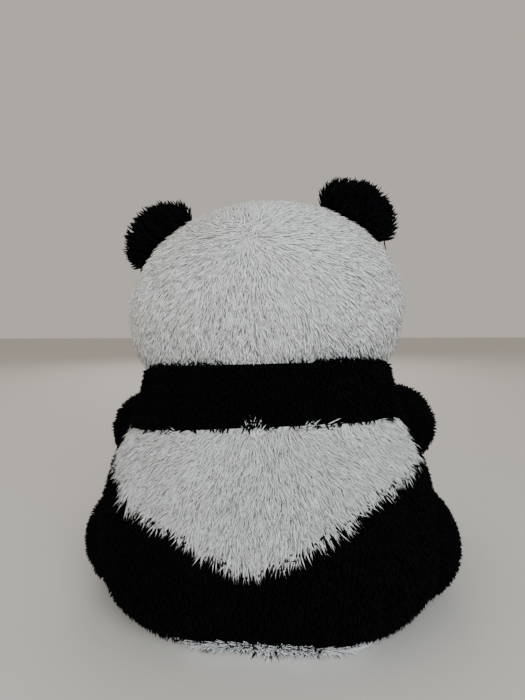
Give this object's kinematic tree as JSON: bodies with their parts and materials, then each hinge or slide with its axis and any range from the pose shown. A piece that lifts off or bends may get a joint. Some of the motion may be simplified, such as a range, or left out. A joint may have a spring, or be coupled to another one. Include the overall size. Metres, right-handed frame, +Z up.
{
  "type": "plush panda",
  "caption": "Sitting stuffed panda with a pale shield-shaped back panel, shoulder yoke, turning and nodding head, swinging arms, splaying legs and floppy ears",
  "frame": {"origin": "centre of the footprint on the ground, at the middle of the overall box", "axes": "+Z up along the height, -Y the way the face looks, +X the toy's own left"},
  "size_m": [0.358, 0.3022, 0.3757],
  "materials": {
    "white_pile": "long pile plush",
    "black_pile": "short pile plush",
    "pad_fabric": "velboa",
    "stuffing": "fibre",
    "pellet_bag": "woven",
    "gloss_black": "polished",
    "washer": "moulded",
    "thread": "embroidery"
  },
  "bodies": {
    "torso": {"torso_stuffing": "stuffing", "pellet_bag": "pellet_bag", "base_panel": "white_pile", "yoke": "black_pile", "belly_panel": "white_pile", "hip_band": "black_pile", "back_panel_left": "white_pile", "back_panel_right": "white_pile"},
    "neck": {"neck_plug": "stuffing"},
    "head": {"head_stuffing": "stuffing", "head_back_left": "white_pile", "head_back_right": "white_pile", "face_left": "white_pile", "face_right": "white_pile", "muzzle": "white_pile", "nose": "gloss_black", "nose_washer": "washer", "mouth_stitch": "thread", "eye_left": "gloss_black", "eye_right": "gloss_black", "eye_washer_left": "washer", "eye_washer_right": "washer", "eye_patch_left": "black_pile", "eye_patch_right": "black_pile"},
    "arm_left": {"arm_left_skin": "black_pile", "arm_left_stuffing": "stuffing"},
    "leg_left": {"leg_left_skin": "black_pile", "leg_left_stuffing": "stuffing", "foot_pad_left": "pad_fabric"},
    "ear_left": {"ear_left_back": "black_pile", "ear_left_front": "black_pile"},
    "arm_right": {"arm_right_skin": "black_pile", "arm_right_stuffing": "stuffing"},
    "leg_right": {"leg_right_skin": "black_pile", "leg_right_stuffing": "stuffing", "foot_pad_right": "pad_fabric"},
    "ear_right": {"ear_right_back": "black_pile", "ear_right_front": "black_pile"}
  },
  "joints": [
    {"name": "head_turn", "type": "hinge", "parent": "torso", "child": "neck", "pos_m": [0.004, 0.014, 0.259], "axis": [0, 0, 1], "range_deg": [-18, 18], "stiffness_Nm_per_rad": 0.35},
    {"name": "head_nod", "type": "hinge", "parent": "neck", "child": "head", "pos_m": [0.004, 0.014, 0.259], "axis": [0.9954, 0, -0.0958], "range_deg": [-10, 8], "stiffness_Nm_per_rad": 0.6},
    {"name": "arm_left_swing", "type": "hinge", "parent": "torso", "child": "arm_left", "pos_m": [0.124, -0.007, 0.14], "axis": [-1, 0, 0], "range_deg": [0, 50], "stiffness_Nm_per_rad": 0.12},
    {"name": "leg_left_splay", "type": "hinge", "parent": "torso", "child": "leg_left", "pos_m": [0.124, 0.038, 0.048], "axis": [0, 0, 1], "range_deg": [-2, 20], "stiffness_Nm_per_rad": 0.3},
    {"name": "ear_left_flex", "type": "hinge", "parent": "head", "child": "ear_left", "pos_m": [0.10043, 0.006, 0.32705], "axis": [-0.7347, 0, 0.6784], "range_deg": [-20, 20], "stiffness_Nm_per_rad": 0.03},
    {"name": "arm_right_swing", "type": "hinge", "parent": "torso", "child": "arm_right", "pos_m": [-0.121, -0.007, 0.148], "axis": [-1, 0, 0], "range_deg": [0, 50], "stiffness_Nm_per_rad": 0.12},
    {"name": "leg_right_splay", "type": "hinge", "parent": "torso", "child": "leg_right", "pos_m": [-0.124, 0.038, 0.048], "axis": [0, 0, -1], "range_deg": [-2, 20], "stiffness_Nm_per_rad": 0.3},
    {"name": "ear_right_flex", "type": "hinge", "parent": "head", "child": "ear_right", "pos_m": [-0.07768, 0.006, 0.3442], "axis": [-0.8506, 0, -0.5258], "range_deg": [-20, 20], "stiffness_Nm_per_rad": 0.03}
  ]
}
